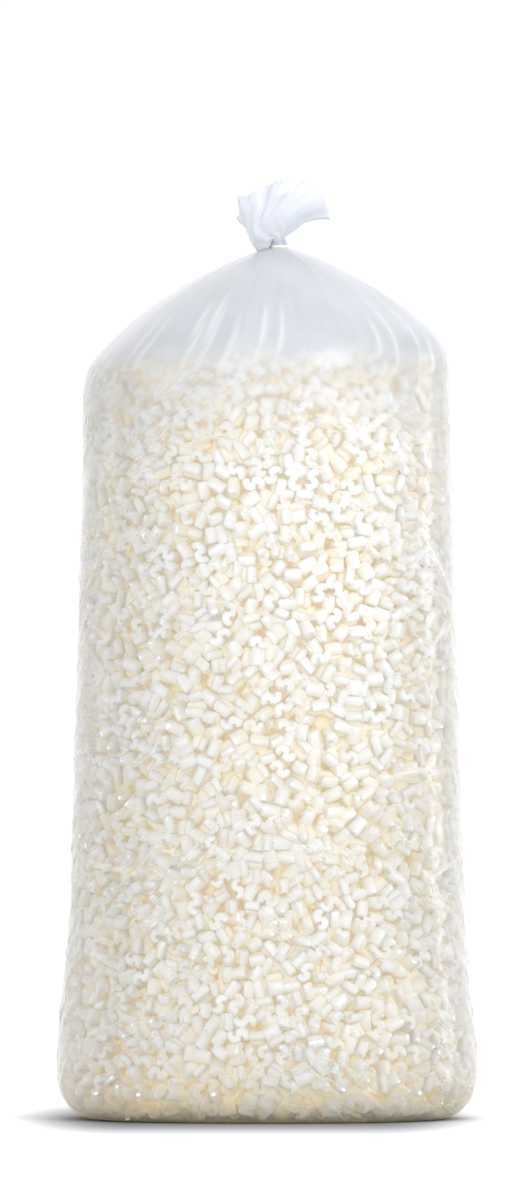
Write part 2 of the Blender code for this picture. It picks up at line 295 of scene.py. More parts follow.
def lid_height(x, y):
    """The heap's top read from a grid, for many points at once."""
    step = lid_steps[1] - lid_steps[0]
    i = np.clip((x - lid_steps[0]) / step, 0, len(lid_steps) - 1.001)
    j = np.clip((y - lid_steps[0]) / step, 0, len(lid_steps) - 1.001)
    i0, j0 = i.astype(int), j.astype(int)
    u, v = i - i0, j - j0
    low = LID[i0, j0] * (1 - v) + LID[i0, j0 + 1] * v
    high = LID[i0 + 1, j0] * (1 - v) + LID[i0 + 1, j0 + 1] * v
    return low * (1 - u) + high * u


def wall_distance(points):
    """Distance inside the film's side wall, and the outward direction."""
    x = points[..., 0] - axis_offset(points[..., 2])
    y = points[..., 1]
    radius = np.hypot(x, y) + 1e-9
    cosine, sine = x / radius, y / radius
    reach = half_width(points[..., 2]) * roundness(cosine, sine)
    return reach - radius, np.stack([cosine, sine, np.zeros_like(cosine)], axis=-1)


def depth_inside(points):
    """Distance from the nearest of film wall, floor film and heap top."""
    wall, _ = wall_distance(points)
    lid = lid_height(points[..., 0], points[..., 1]) - points[..., 2]
    return np.minimum(np.minimum(wall, points[..., 2]), lid)


span = np.arange(-0.36, 0.361, START_SPACING)
heights = np.arange(0.010, 1.27, START_SPACING)
grid = np.stack(np.meshgrid(span, span, heights, indexing="ij"), axis=-1).reshape(-1, 3)
grid += rng.uniform(-0.4, 0.4, grid.shape) * START_SPACING
inside = depth_inside(grid)
place = grid[(inside > FIRST_GAP) & (inside < LAYER_DEPTH)]
COUNT = len(place)
kind = rng.integers(0, len(SHAPES), COUNT)
scale = rng.uniform(0.94, 1.06, COUNT)
spin = rng.normal(size=(COUNT, 4))
spin /= np.linalg.norm(spin, axis=1, keepdims=True)
print("peanuts poured:", COUNT)

# %% [markdown]
# The turn of each peanut is kept as a quaternion, four numbers that can be nudged by a
# small turn and scaled back to length one. A search tree finds each piece's neighbours.

# %% Turns and neighbours
def rotation(q):
    """Rotation matrices of many quaternions."""
    w, x, y, z = q.T
    rows = [
        [1 - 2 * (y * y + z * z), 2 * (x * y - w * z), 2 * (x * z + w * y)],
        [2 * (x * y + w * z), 1 - 2 * (x * x + z * z), 2 * (y * z - w * x)],
        [2 * (x * z - w * y), 2 * (y * z + w * x), 1 - 2 * (x * x + y * y)],
    ]
    return np.array([[np.asarray(c) for c in row] for row in rows]).transpose(2, 0, 1)


def nudge(q, turn):
    """Quaternions after a small turn about a vector, in radians."""
    w, v = q[:, :1], q[:, 1:]
    moved = np.c_[-0.5 * np.sum(turn * v, axis=1), 0.5 * (w * turn + np.cross(turn, v))]
    q = q + moved
    return q / np.linalg.norm(q, axis=1, keepdims=True)


def near_pairs(points, reach):
    """All pairs of peanuts whose middles are nearer than reach."""
    tree = KDTree(len(points))
    for k, point in enumerate(points):
        tree.insert(point, k)
    tree.balance()
    pairs = [(k, j) for k, point in enumerate(points) for _, j, _ in tree.find_range(point, reach) if j > k]
    return np.array(pairs)


def gather(index, values, count):
    """Sum of the rows of values that share an index."""
    return np.stack([np.bincount(index, values[:, c], count) for c in range(values.shape[1])], axis=1)


# %% [markdown]
# The four balls of a peanut stand side by side along its bend. Contact with the film is
# tested at every second corner of its two full rings. The pushes fade out towards the
# last round, and no piece moves more than 4 mm or turns more than 0.12 radians at once,
# so the pile calms down.

# %% Settle the peanuts
BALLS = np.array([[a * 0.0066, 0.0, b * 0.0022] for a in (-1, 1) for b in (-1, 1)])
BALL_RADIUS = 0.0116
ROUNDS = 120
NEIGHBOUR_REACH = 0.050
PUSH_APART, TURN_APART = 0.22, 900.0
PUSH_INSIDE, TURN_FLAT = 0.8, 1500.0
PRESS_OUT, PRESS_FROM_BEHIND = 0.0011, 0.0010
FILM_CONTACT, LID_CONTACT = 0.0006, 0.004
LONGEST_MOVE, LARGEST_TURN = 0.004, 0.12
WHOLE = np.stack([shape[1][0] for shape in SHAPES])
QUARTER = WHOLE.shape[1] // 4
CORNERS = WHOLE[:, QUARTER : 3 * WHOLE.shape[1] // 4 : 2]


def settle(place, spin, rounds):
    """Push overlaps apart and press the pieces against the film."""
    pairs = None
    corners_local = CORNERS[kind] * scale[:, None, None]
    balls_local = BALLS[None] * scale[:, None, None]
    for step in range(rounds):
        late = step / rounds
        if step % 12 == 0:
            pairs = near_pairs(place, NEIGHBOUR_REACH)
        turn = rotation(spin)
        push = np.zeros_like(place)
        twist = np.zeros_like(place)
        balls = np.einsum("nij,nkj->nki", turn, balls_local)
        a, b = pairs.T
        gap = (place[a] - place[b])[:, None, None] + balls[a][:, :, None] - balls[b][:, None]
        distance = np.linalg.norm(gap, axis=-1) + 1e-9
        overlap = np.clip(BALL_RADIUS * (scale[a] + scale[b])[:, None, None] - distance, 0.0, None)
        force = gap / distance[..., None] * (0.5 * overlap)[..., None]
        on_a, on_b = force.sum(axis=2), -force.sum(axis=1)
        for index, part in ((a, on_a), (b, on_b)):
            push += PUSH_APART * gather(index, part.sum(axis=1), COUNT)
            twist += TURN_APART * gather(index, np.cross(balls[index], part).sum(axis=1), COUNT)
        corners = np.einsum("nij,nkj->nki", turn, corners_local)
        world = place[:, None] + corners
        wall, outward = wall_distance(world)
        depth = np.clip(FILM_CONTACT - wall, 0.0, None)
        shove = -outward * depth[..., None]
        shove[..., 2] += np.clip(FILM_CONTACT - world[..., 2], 0.0, None)
        lid = world[..., 2] - lid_height(world[..., 0], world[..., 1]) - LID_CONTACT
        shove[..., 2] -= np.clip(lid, 0.0, None)
        deepest = np.linalg.norm(shove, axis=-1).argmax(axis=1)
        push += PUSH_INSIDE * shove[np.arange(len(shove)), deepest]
        twist += TURN_FLAT * np.cross(corners, shove).mean(axis=1)
        wall, outward = wall_distance(place)
        press = PRESS_OUT * (1.0 - late**2) * (wall < 0.036)
        press = press + PRESS_FROM_BEHIND * (1 - late) * (wall > LAYER_DEPTH)
        ease = (place[:, 2] > 0.03) & (place[:, 2] < HEAP_TOP - 0.03)
        push += outward * (press * ease)[:, None]
        length = np.linalg.norm(push, axis=1, keepdims=True)
        push *= np.minimum(1.0, LONGEST_MOVE / (length + 1e-9))
        angle = np.linalg.norm(twist, axis=1, keepdims=True)
        twist *= np.minimum(1.0, LARGEST_TURN / (angle + 1e-9))
        place = place + push
        spin = nudge(spin, twist)
    return place, spin, float(overlap.max()), float(overlap[overlap > 0].mean())


# %% [markdown]
# The tips of some pieces still poke out. Clear film in front of white foam would show
# them as hard white patches, so each piece moves in by as much as it pokes out. Where
# a loose piece of the solid model lies on the heap, the poured ones make room for it.

# %% Pull the peanuts inside
FILM_MARGIN, SHOULDER_MARGIN, FLOOR_MARGIN = 0.0008, 0.0026, 0.0034
LOOSE_ROOM = 0.021


def pulled_inside(place, spin):
    """Every peanut moved in by as much as it pokes out through the film or the floor."""
    turned = np.einsum("nij,nkj->nki", rotation(spin), WHOLE[kind] * scale[:, None, None])
    for _ in range(3):
        world = place[:, None] + turned
        wall, outward = wall_distance(world)
        near_shoulder = smoothstep(world[..., 2], SHOULDER_HEIGHT - 0.03, SHOULDER_HEIGHT)
        wall = wall - SHOULDER_MARGIN * near_shoulder
        row, worst = np.arange(len(place)), np.argmin(wall, axis=1)
        out_by = np.clip(FILM_MARGIN - wall[row, worst], 0.0, None)
        place = place - outward[row, worst] * out_by[:, None]
        lowest = (place[:, None] + turned)[..., 2].min(axis=1)
        place[:, 2] += np.clip(FLOOR_MARGIN - lowest, 0.0, None)
    return place


place, spin, worst, usual = settle(place, spin, ROUNDS)
place = pulled_inside(place, spin)
LOOSE = sorted(name for name in frame["nodes"] if name.startswith("peanut_") and name != "peanut_fill")
for name in LOOSE:
    middle = (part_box(name)[0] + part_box(name)[1]) / 2
    keep = np.linalg.norm(place - np.array(middle), axis=1) > LOOSE_ROOM
    place, spin, kind, scale = place[keep], spin[keep], kind[keep], scale[keep]
COUNT = len(place)
print("peanuts kept beside the", len(LOOSE), "loose ones of the solid model:", COUNT)
print("largest and usual overlap of the balls, mm:", round(worst * 1000, 1), round(usual * 1000, 2))


# %% [markdown]
# ## From arrays to meshes
# Thousands of copies as separate objects would be slow, so the peanuts of one side of
# the bag are written into one mesh straight from arrays. The cut ends are shaded flat
# and the extruded sides smooth. Each corner also gets a number that says how far it
# lies behind the film. It drives a painted warm colour and a painted glow, which stand
# in for light that has passed through the foam and turned warmer.

# %% Mesh helpers
def make_piece(name, points, triangles, flat=None, attributes=None):
    """A mesh object from arrays; flat marks triangles that keep a flat face."""
    mesh = bpy.data.meshes.new(name)
    mesh.vertices.add(len(points))
    mesh.vertices.foreach_set("co", np.ascontiguousarray(points, dtype=np.float32).ravel())
    mesh.loops.add(3 * len(triangles))
    mesh.loops.foreach_set("vertex_index", np.ascontiguousarray(triangles, dtype=np.int32).ravel())
    mesh.polygons.add(len(triangles))
    mesh.polygons.foreach_set("loop_start", np.arange(0, 3 * len(triangles), 3, dtype=np.int32))
    smooth = np.ones(len(triangles), dtype=bool) if flat is None else ~flat
    mesh.polygons.foreach_set("use_smooth", smooth)
    for key, values in (attributes or {}).items():
        form, part = ("FLOAT", "value") if values.ndim == 1 else ("FLOAT_VECTOR", "vector")
        layer = mesh.attributes.new(key, form, "POINT")
        layer.data.foreach_set(part, values.astype(np.float32).ravel())
    mesh.update()
    mesh.validate()
    piece = bpy.data.objects.new(name, mesh)
    bpy.context.scene.collection.objects.link(piece)
    return piece


def merged_peanuts(which, detail):
    """Points, triangles and flat flags of some of the settled peanuts."""
    turn = rotation(spin)
    points, triangles, flat, total = [], [], [], 0
    for k in which:
        shape, faces, ends = SHAPES[kind[k]][detail[k]]
        points.append(shape @ turn[k].T * scale[k] + place[k])
        triangles.append(faces + total)
        flat.append(np.arange(len(faces)) < ends)
        total += len(shape)
    return np.concatenate(points), np.concatenate(triangles), np.concatenate(flat)


# %% [markdown]
# ## Foam pieces by side
# The layer is split into sectors round the bag, plus the top of the heap and the part
# that lies on the floor, so that each piece has a name that says where it is.

# %% Build the foam pieces
FULL_DETAIL_TO, HALF_DETAIL_TO = 0.0225, 0.030
middle_wall, _ = wall_distance(place)
depth_of = depth_inside(place)
detail = np.where(depth_of < FULL_DETAIL_TO, 0, np.where(depth_of < HALF_DETAIL_TO, 1, 2))
detail = np.where(place[:, 2] < 0.02, 2, detail)
azimuth = np.degrees(np.arctan2(place[:, 1], place[:, 0])) % 360.0
on_top = (lid_height(place[:, 0], place[:, 1]) - place[:, 2] < 0.045) & (middle_wall > 0.035)
under = (place[:, 2] < 0.045) & (middle_wall > 0.035)
SIDES = ("front", "front_right", "right", "back_right", "back", "back_left", "left", "front_left")
groups = {"foam_heap_top": on_top, "foam_base": under & ~on_top}
for k, name in enumerate(SIDES):
    turned = (azimuth - (270 + 45 * k) % 360 + 22.5) % 360.0
    groups["foam_" + name] = (turned < 45.0) & ~on_top & ~under
foam_pieces = []
for name, members in groups.items():
    points, triangles, flat = merged_peanuts(np.flatnonzero(members), detail)
    # How far behind the film, which the foam material turns into painted warm light and a painted glow.
    depth = np.clip(depth_inside(points) / HALF_DETAIL_TO, 0.0, 1.0)
    foam_pieces.append(make_piece(name, points, triangles, flat, {"depth_behind_film": depth}))
    print(name, "peanuts:", int(members.sum()), "triangles:", len(triangles))

# %% [markdown]
# ## The heart of the heap
# Behind the poured layer the bag is solid foam pieces that nobody can see. One rough
# closed form stands for them and stops light from passing through the middle.

# %% Foam core
CORE_DEPTH = 0.052


def core_surface():
    """A lumpy closed form a little deeper than the poured layer."""
    columns, rows = 72, 90
    turn = np.arange(columns) * 2 * math.pi / columns
    share = np.linspace(0.0, 1.0, rows)
    z = 0.050 + (HEAP_TOP - 0.105) * smoothstep(share * 0.5 + 0.25, 0.25, 0.75)
    taper = np.sqrt(np.clip(1.0 - (2 * share - 1) ** 12, 0.0, 1.0))
    points = []
    for height, part in zip(z, taper):
        for angle in turn:
            c, s = math.cos(angle), math.sin(angle)
            reach = (float(half_width(height)) * float(roundness(c, s)) - CORE_DEPTH) * part
            bump = 0.006 * noise.noise(Vector((c * 9.0, s * 9.0, height * 28.0)))
            out = max(reach + bump, 0.001)
            points.append((out * c, out * s, height + bump))
    return np.array(points), between_rings(rows, columns)


core_points, core_triangles = core_surface()
# The core counts as the deepest foam, so it takes the full painted warm light and painted glow.
core_depth = {"depth_behind_film": np.ones(len(core_points))}
foam_core = make_piece("foam_core", core_points, core_triangles, None, core_depth)
print("core triangles:", len(core_triangles))


# %% [markdown]
# ## The film, draped
# Blown polyethylene film is thin and slack. It rests on the outermost peanuts and
# bridges the gaps between them, so its form is the peanuts' own form with every gap
# closed over. Rays sent in from the bag's outline find how deep the foam lies at
# each point of a grid; the smallest depth nearby, eased back and smoothed, is where the
# film can lie without cutting into foam. Wrinkles are then added outward only.

# %% Rays onto the foam
COLUMNS = 300
turn_of_column = np.arange(COLUMNS) * 2 * math.pi / COLUMNS
COSINE, SINE = np.cos(turn_of_column), np.sin(turn_of_column)
DEEPEST = 0.016
RAY_START = 0.004
corner_rows = CORNER_RADIUS * (1 - np.cos(np.linspace(0.0, 0.5 * math.pi, 11)))
body_rows = np.linspace(CORNER_RADIUS, SHOULDER_HEIGHT, 184)[1:]
side_heights = np.concatenate([corner_rows, body_rows])

near_film = np.flatnonzero(depth_of < 0.034)
hit_points, hit_triangles, _ = merged_peanuts(near_film, np.ones(COUNT, dtype=int))
foam_tree = BVHTree.FromPolygons(hit_points.tolist(), hit_triangles.tolist())


def foam_depth(heights):
    """How far inside the outline the foam lies, for each height and column."""
    found = np.full((len(heights), COLUMNS), DEEPEST)
    reach = half_width(heights)[:, None] * roundness(COSINE, SINE)[None]
    for i, z in enumerate(heights):
        offset = float(axis_offset(z))
        for j in range(COLUMNS):
            out = reach[i, j] + RAY_START
            start = Vector((out * COSINE[j] + offset, out * SINE[j], z))
            inward = Vector((-COSINE[j], -SINE[j], 0.0))
            distance = foam_tree.ray_cast(start, inward, RAY_START + DEEPEST)[3]
            if distance is not None:
                found[i, j] = min(distance - RAY_START, DEEPEST)
    return found


depth_map = foam_depth(side_heights)
print("foam depth behind the outline, mm:", np.percentile(depth_map * 1000, [5, 50, 95]).round(1))

# %% [markdown]
# ## Smooth filters on the grid
# The grid runs round the bag, so columns wrap and rows do not.

# %% Close the gaps and smooth
def shifted(grid, rows, columns):
    """The grid moved by whole cells; rows stop at the ends, columns wrap round."""
    index = np.clip(np.arange(len(grid)) + rows, 0, len(grid) - 1)
    return np.roll(grid[index], columns, axis=1)


def smallest_near(grid, reach):
    """The smallest value within a round window of so many cells."""
    result = grid
    for r in range(-reach, reach + 1):
        for c in range(-reach, reach + 1):
            if r * r + c * c <= reach * reach + 1:
                result = np.minimum(result, shifted(grid, r, c))
    return result


def blurred(grid, passes):
    """The grid averaged with its neighbours, so many times."""
    for _ in range(passes):
        grid = (shifted(grid, 1, 0) + shifted(grid, -1, 0) + 2 * grid) / 4
        grid = (shifted(grid, 0, 1) + shifted(grid, 0, -1) + 2 * grid) / 4
    return grid


GAP_REACH = 4
FOAM_CLEARANCE = 0.0006
drape = blurred(smallest_near(depth_map, GAP_REACH), 10)
for _ in range(3):
    drape = np.minimum(blurred(drape, 2), smallest_near(depth_map, 1) - FOAM_CLEARANCE)
drape = np.clip(drape, -0.002, DEEPEST)
print("film behind the outline, mm:", np.percentile(drape * 1000, [5, 50, 95]).round(1))

# %% [markdown]
# ## Wrinkles
# Slack film hangs in shallow folds that run down from both shoulders towards the middle
# of the foot, so on the left they lean one way and on the right the other. They
# are ridges of smooth noise that is long in one direction and short in the other. The
# noise comes from a small random grid, eased between its points.

# %% Grid noise and wrinkles
def soft_noise(u, v, seed):
    """Smooth values from -1 to 1 over two coordinates, about one bump for each unit."""
    table = np.random.default_rng(seed).uniform(-1.0, 1.0, (64, 64))
    iu, iv = np.floor(u).astype(int), np.floor(v).astype(int)
    fu, fv = smoothstep(u - iu), smoothstep(v - iv)
    low = table[iu % 64, iv % 64] * (1 - fu) + table[(iu + 1) % 64, iv % 64] * fu
    high = table[iu % 64, (iv + 1) % 64] * (1 - fu) + table[(iu + 1) % 64, (iv + 1) % 64] * fu
    return low * (1 - fv) + high * fv


def ridges(u, v, seed):
    """Narrow raised lines where the noise passes through zero, from 0 to 1."""
    return np.clip(1.0 - np.abs(soft_noise(u, v, seed)) * 2.6, 0.0, 1.0) ** 2


MEAN_RADIUS = 0.31
FOLD_SLOPE = 0.85
z_grid = side_heights[:, None] + np.zeros((1, COLUMNS))
from_front = np.arcsin(np.clip(-SINE, -1.0, 1.0))[None] + np.zeros_like(z_grid)
sideways = (0.5 * math.pi - np.abs(from_front)) * MEAN_RADIUS
sideways = np.sqrt(sideways**2 + 0.04**2)
across_fold = z_grid + FOLD_SLOPE * sideways
along_fold = z_grid * FOLD_SLOPE - sideways
side_share = smoothstep(sideways, 0.10, 0.30)
low_share = smoothstep(1.0 - z_grid, 0.0, 0.8)
half_seed = np.where(COSINE[None] + 0 * z_grid > 0, 1.0, 2.0)
folds = ridges(across_fold / 0.030 + 31.7 * half_seed, along_fold / 0.16, 11)
small_folds = ridges(across_fold / 0.013 + 17.3 * half_seed, along_fold / 0.07, 12)
wrinkle = 0.0022 * folds * (0.35 + 0.65 * side_share) * (0.5 + 0.5 * low_share)
wrinkle += 0.0009 * small_folds * (0.3 + 0.7 * side_share)
wrinkle *= smoothstep(z_grid, 0.03, 0.10)
print("largest wrinkle, mm:", round(float(wrinkle.max()) * 1000, 2))

# %% [markdown]
# ## Creases
# A few longer creases are folded into the film where it was pulled tight while it was
# tied: a long arc across the front below the shoulders, short level ones under it, and
# a star of short ones at each shoulder. More lie at random places round the sides and
# the back. Each is a ridge along a curve on the film.

# %% Long creases
def crease(angle_height, rise, width):
    """Outward ridge along a line of (degrees from the front, height) points."""
    degrees, heights = np.array(angle_height, dtype=float).T
    steps = np.linspace(0, len(degrees) - 1, 12 * (len(degrees) - 1) + 1)
    angle = np.interp(steps, np.arange(len(degrees)), degrees)
    level = np.interp(steps, np.arange(len(degrees)), heights)
    column_degrees = (np.degrees(turn_of_column) + 270.0) % 360.0
    column_degrees = np.where(column_degrees < 180, column_degrees, column_degrees - 360)
    column_degrees = column_degrees[None] + 0 * z_grid
    nearest = np.full(z_grid.shape, 9.0)
    share = np.zeros(z_grid.shape)
    for k in range(len(steps)):
        gap = (column_degrees - angle[k] + 180.0) % 360.0 - 180.0
        distance = np.hypot(np.radians(gap) * MEAN_RADIUS, z_grid - level[k])
        closer = distance < nearest
        nearest = np.where(closer, distance, nearest)
        share = np.where(closer, k / (len(steps) - 1), share)
    fade = np.sin(math.pi * np.clip(share * 0.96 + 0.02, 0, 1)) ** 0.5
    return rise * fade * np.exp(-((nearest / width) ** 2))


# Each crease: its points in degrees from the front and metres up, its rise and its width.
CREASES = [
    ([(-34, 1.118), (-12, 1.128), (4, 1.136), (22, 1.152), (40, 1.178)], 0.0050, 0.0050),
    ([(-41, 1.012), (-34, 1.016), (-26, 1.013)], 0.0030, 0.0045),
    ([(-30, 0.866), (-22, 0.870), (-16, 0.866)], 0.0030, 0.0045),
    ([(-25, 0.756), (-14, 0.762), (-7, 0.757)], 0.0030, 0.0045),
    ([(-64, 1.140), (-50, 1.105), (-38, 1.060)], 0.0040, 0.0050),
    ([(-64, 1.140), (-56, 1.085), (-50, 1.020)], 0.0035, 0.0050),
    ([(-64, 1.140), (-47, 1.140), (-30, 1.150)], 0.0040, 0.0050),
    ([(-64, 1.140), (-52, 1.180), (-40, 1.205)], 0.0040, 0.0050),
    ([(58, 1.190), (50, 1.120), (38, 1.060)], 0.0035, 0.0050),
    ([(58, 1.190), (44, 1.170), (28, 1.165)], 0.0035, 0.0050),
    ([(20, 0.700), (32, 0.735), (44, 0.790)], 0.0030, 0.0045),
    ([(12, 0.420), (26, 0.455), (40, 0.520)], 0.0030, 0.0045),
    ([(-52, 0.560), (-38, 0.500), (-26, 0.470)], 0.0030, 0.0045),
]
random_creases = np.random.default_rng(21)
for _ in range(26):
    middle = random_creases.uniform(60, 300)
    level = random_creases.uniform(0.25, 1.15)
    lean = random_creases.uniform(-0.06, 0.06)
    reach = random_creases.uniform(8, 22)
    line = [(middle - reach, level - lean), (middle, level), (middle + reach, level + lean)]
    CREASES.append((line, random_creases.uniform(0.002, 0.0045), 0.005))
crease_map = np.zeros_like(z_grid)
for line, rise, width in CREASES:
    crease_map = np.maximum(crease_map, crease(line, rise, width))
print("creases:", len(CREASES))

# %% [markdown]
# ## Gathers, neck and tail
# Two metres of film meet in a neck as thick as a thumb, so the film folds into pleats.
# They start shallow below the shoulders, deepen as the tent closes, pack tightly
# under the tie and open again above it into a ruffled tail.

# %% Pleats
def pleats(number, seed):
    """A pleat wave round the bag, from -1 to 1, each pleat with its own width and depth."""
    random = np.random.default_rng(seed)
    edges = np.cumsum(random.uniform(0.6, 1.4, number))
    edges = np.concatenate([[0.0], edges / edges[-1]]) * 2 * math.pi
    strength = random.uniform(0.4, 1.0, number)
    which = np.clip(np.searchsorted(edges, turn_of_column, side="right") - 1, 0, number - 1)
    share = (turn_of_column - edges[which]) / (edges[which + 1] - edges[which])
    return -np.cos(2 * math.pi * share) * strength[which]


FINE_PLEATS, WIDE_PLEATS, SOFT_PLEATS = pleats(50, 5), pleats(21, 6), pleats(9, 7)


def ring(centre_x, reach, z):
    """One row of film points."""
    z = z + np.zeros(COLUMNS)
    return np.stack([centre_x + reach * COSINE, reach * SINE, z], axis=1)


# %% [markdown]
# The film is a stack of rings. The lowest ones lie flat under the bag, and each ring of
# the body is the bag's outline, eased in to the peanuts and out again at its wrinkles.

# %% Rings of the body
flat_base = FOOT_HALF_WIDTH - CORNER_RADIUS
rows = [ring(0.0, share * flat_base * roundness(COSINE, SINE), 0.0) for share in (0.02, 0.2, 0.5, 0.8)]
zones = [0.0] * len(rows)
base_reach = half_width(side_heights)[:, None] * roundness(COSINE, SINE)[None]
tent_fade = smoothstep(z_grid, SHOULDER_HEIGHT - 0.20, SHOULDER_HEIGHT)
gathers = tent_fade * (0.0003 * WIDE_PLEATS + 0.0018 * SOFT_PLEATS)[None]
lift = np.maximum(wrinkle, crease_map) + np.clip(gathers + 0.002 * tent_fade, 0.0, None)
side_reach = base_reach - drape + lift
corner_ease = smoothstep(z_grid, 0.0, CORNER_RADIUS)
side_reach = base_reach + (side_reach - base_reach) * corner_ease
for i, z in enumerate(side_heights):
    rows.append(ring(float(axis_offset(z)), side_reach[i], z))
    zones.append(z / SHOULDER_HEIGHT)
last_excess = side_reach[-1] - base_reach[-1]
print("rings up to the shoulder:", len(rows))

# %% [markdown]
# Above the shoulders the tent closes towards the neck. A small ledge stands where the
# film leaves the heap, and forty sharp folds run down it, each over its own stretch.

# %% Rings of the tent
draw = np.random.default_rng(31).uniform
TENT_LINES = [(draw(0, COLUMNS), draw(-0.15, 0.2), draw(0.3, 0.75)) for _ in range(40)]


def tent_lines(climb):
    """Sharp folds that run down the tent, each over its own stretch, from 0 to 1."""
    total = np.zeros(COLUMNS)
    for middle, start, end in TENT_LINES:
        gap = np.abs((np.arange(COLUMNS) - middle + COLUMNS / 2) % COLUMNS - COLUMNS / 2)
        share = min(max((climb - start) / (end - start), 0.0), 1.0)
        total = np.maximum(total, math.sin(math.pi * share) * np.exp(-((gap / 0.8) ** 2)))
    return total


FULLY_CREASED = 0.0035
creased = [np.zeros(COLUMNS)] * (len(rows) - len(side_heights))
creased += list(np.clip(crease_map / FULLY_CREASED, 0.0, 1.0))
TENT_ROWS = 62
TENT_LEDGE = 0.0026
for step in np.linspace(0.0, 1.0, TENT_ROWS + 1)[1:]:
    climb = 1.0 - (1.0 - step) ** 1.25
    z = SHOULDER_HEIGHT + TENT_RISE * climb
    width = max(float(half_width(z)), NECK_RADIUS)
    ledge = TENT_LEDGE * float(smoothstep(climb, 0.0, 0.28) * smoothstep(climb, 0.9, 0.3))
    start = last_excess * (1.0 - climb) ** 3 + ledge
    depth = 1.0 - smoothstep(np.array(climb), 0.90, 1.0) * 0.72
    fine = 0.0008 * climb**8 * FINE_PLEATS
    wide = (0.0003 + 0.0007 * climb**4) * WIDE_PLEATS
    soft = 0.0030 * math.sin(math.pi * min(climb + 0.2, 1.0)) * SOFT_PLEATS
    # Each fold's mark also raises the film here and, in the shader, paints a white line that is partly a
    # painted highlight.
    creased.append(0.35 * tent_lines(climb))
    folds_here = (fine + wide + soft + 0.0024 * creased[-1]) * depth * min(1.0, width / 0.05)
    out = width * roundness(COSINE, SINE, climb) + start + folds_here
    rows.append(ring(float(axis_offset(z)), np.maximum(out, 0.004), z))
    zones.append(1.0 + climb)
print("rings up to the neck:", len(rows))

# %% [markdown]
# The tail is the same film above the tie. It fans out wider than it is deep, its lips
# droop to both sides, and its rim is wavy because the pleats spring open at once.

# %% Tail
TIE_WIDTH = 0.0045
TAIL_ROWS = 36
TAIL_DEPTH = 0.040
FAN_DEGREES = [26, 43, 56, 61, 66, 70, 78, 82, 86, 89, 92, 99, 113, 124, 132, 143, 150]
FAN_REACH_MM = [92, 102, 110, 111, 117, 109, 107, 104, 107, 101, 104, 98, 96, 94, 102, 81, 82]
RIGHT_LIP = ([0.0, 0.20, 0.39, 0.56, 0.88, 1.0], [60, 44, 39, 40, 30, 26])
LEFT_LIP = ([0.0, 0.20, 0.44, 0.60, 0.75, 0.90, 1.0], [135, 206, 201, 167, 154, 152, 149])
tie_top = NECK_HEIGHT + 0.75 * TIE_WIDTH


def fan_row(share):
    """One row of the tail; share is 0 at the tie and 1 at the rim."""
    right, left = np.interp(share, *RIGHT_LIP), np.interp(share, *LEFT_LIP)
    middle, half = 0.5 * (left + right), 0.5 * (left - right)
    degrees = middle - half * COSINE
    rim_degrees = 88.0 - 62.0 * COSINE
    reach = share * np.interp(rim_degrees, FAN_DEGREES, np.array(FAN_REACH_MM) / 1000.0)
    reach = reach * (1.0 + share**4 * 0.012 * WIDE_PLEATS)
    x = reach * np.cos(np.radians(degrees))
    z = reach * np.sin(np.radians(degrees))
    bulge = math.sin(math.pi * min(0.15 + 0.6 * share, 1.0))
    crumple = soft_noise(turn_of_column * 1.9, np.full(COLUMNS, 5.0 * share), 41) * share
    fold = share**0.6 * (0.0007 * WIDE_PLEATS + 0.0040 * SOFT_PLEATS + 0.0050 * crumple)
    y = TAIL_DEPTH * bulge * np.sign(SINE) * np.abs(SINE) ** 0.8 + fold * np.abs(SINE) ** 0.5
    fan = np.stack([NECK_OFFSET + x, y, tie_top + z], axis=1)
    neck = ring(NECK_OFFSET, NECK_RADIUS * (1 + 0.06 * FINE_PLEATS), tie_top + 0.09 * share)
    mix = float(smoothstep(np.array(share), 0.0, 0.24))
    return neck * (1.0 - mix) + fan * mix


for z in (NECK_HEIGHT - 0.75 * TIE_WIDTH, tie_top):
    rows.append(ring(NECK_OFFSET, NECK_RADIUS * (1 + 0.06 * FINE_PLEATS + 0.05 * WIDE_PLEATS), z))
    zones.append(2.0)
for share in np.linspace(0.0, 1.0, TAIL_ROWS + 1)[1:]:
    rows.append(fan_row(share))
    zones.append(2.0 + share)

# %% [markdown]
# All the rings are joined by triangles, and a fan closes the base round its middle.

# %% Join the rings
row_total = len(rows)
film_points = np.concatenate(rows + [[[0.0, 0.0, 0.0]]])
k = np.arange(COLUMNS)
base_fan = np.c_[(k + 1) % COLUMNS, k, np.full(COLUMNS, row_total * COLUMNS)]
film_triangles = np.concatenate([between_rings(row_total, COLUMNS), base_fan])
print("film rows:", row_total, "triangles:", len(film_triangles))

# %% [markdown]
# ## Numbers painted on the film
# The shader needs to know where it is on the bag. One number grows up the bag: 0 at the
# floor, 1 at the shoulder, 2 at the neck and 3 at the tail's rim. A direction,
# constant up each column, lets streaks run along the gathers, and a last number marks
# the creases, where bent film turns white and a painted highlight runs along them.

# %% Film piece
creased += [np.zeros(COLUMNS)] * (row_total - len(creased))
creased = np.append(np.concatenate(creased), 0.0)
zone = np.repeat(zones, COLUMNS)
around = np.stack([np.tile(COSINE, row_total), np.tile(SINE, row_total), np.zeros(len(zone))], axis=1)
zone, around = np.append(zone, 0.0), np.concatenate([around, [[0.0, 0.0, 0.0]]])
painted = {"height_zone": zone, "around_bag": around, "creased": creased}
bag_film = make_piece("bag_film", film_points, film_triangles, None, painted)

# %% [markdown]
# ## Expanded foam
# Loose fill is expanded polystyrene: closed cells a fraction of a millimetre across in
# a thin skin, matt and nearly white. Light seeps through several pieces before it
# leaves a gap, so the gaps look cream and not grey. Following it through thousands of
# pieces would be slow, so that light is painted: the depth behind the film gives the
# gaps a painted warm colour and a faint painted glow. The cells are drawn 1.6 mm
# across, coarser than real, so that they show at all.

# %% Foam material
MOTTLE_PER_METRE = 28.0
CELLS_PER_METRE = 620.0
CELL_RELIEF = 0.0004
DEEPEST_PAINTED_GLOW = 0.125


